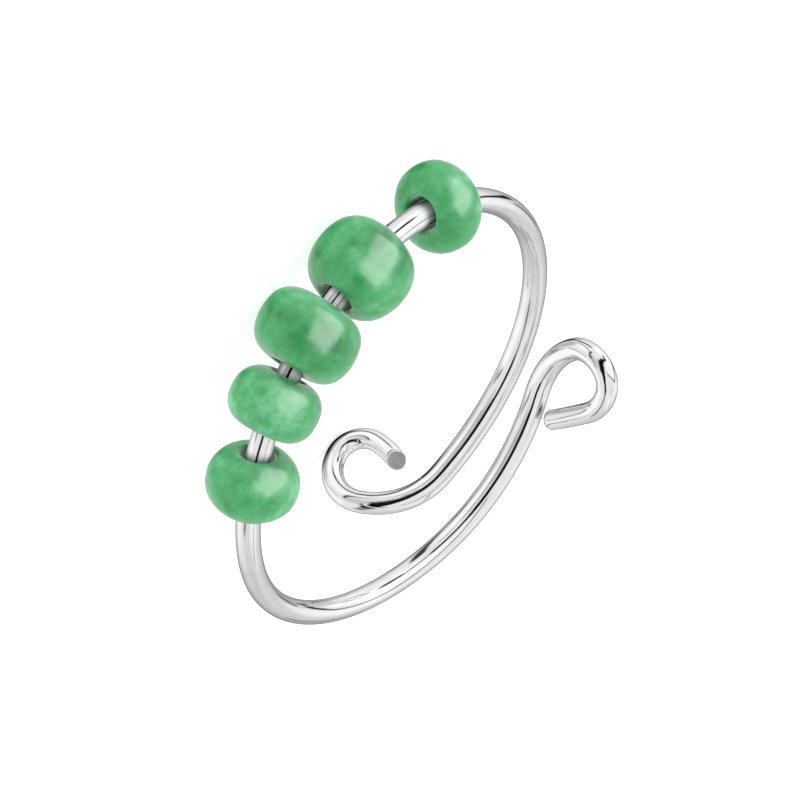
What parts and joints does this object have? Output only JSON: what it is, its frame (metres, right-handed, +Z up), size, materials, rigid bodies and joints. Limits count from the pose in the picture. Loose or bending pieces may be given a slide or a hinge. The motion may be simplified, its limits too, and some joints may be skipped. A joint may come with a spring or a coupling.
{
  "type": "spinner ring",
  "caption": "Open finger ring bent from one round wire, its curled ends passing each other at the back, with green glass beads that spin on its front.",
  "frame": {"origin": "middle of the base of the box, on the surface that the ring lies on", "axes": "+Z up; -Y towards the bead row, +Y towards the curled ends; +X from the first bead towards the last"},
  "size_m": [0.019, 0.021, 0.0096],
  "materials": {
    "silver": "polished silver round wire",
    "green_glass": "semi-translucent mid green glass with faint streaks, fire polished"
  },
  "bodies": {
    "band": {"band_wire": "silver"},
    "bead_1": {"bead_1": "green_glass"},
    "bead_2": {"bead_2": "green_glass"},
    "bead_3": {"bead_3": "green_glass"},
    "bead_4": {"bead_4": "green_glass"},
    "bead_5": {"bead_5": "green_glass"}
  },
  "joints": [
    {"name": "bead_1_spin", "type": "hinge", "parent": "band", "child": "bead_1", "pos_m": [-0.00746, -0.0046, 0.00234], "axis": [0.5974, -0.7921, -0.1251], "continuous": true},
    {"name": "bead_2_spin", "type": "hinge", "parent": "band", "child": "bead_2", "pos_m": [-0.00377, -0.00745, 0.00206], "axis": [0.9244, -0.3807, 0.023], "continuous": true},
    {"name": "bead_3_spin", "type": "hinge", "parent": "band", "child": "bead_3", "pos_m": [-0.00047, -0.00837, 0.00212], "axis": [0.9932, -0.0834, 0.0814], "continuous": true},
    {"name": "bead_4_spin", "type": "hinge", "parent": "band", "child": "bead_4", "pos_m": [0.00243, -0.00807, 0.00252], "axis": [0.9828, 0.1353, 0.126], "continuous": true},
    {"name": "bead_5_spin", "type": "hinge", "parent": "band", "child": "bead_5", "pos_m": [0.00542, -0.00669, 0.00317], "axis": [0.7992, 0.5652, 0.2048], "continuous": true}
  ]
}
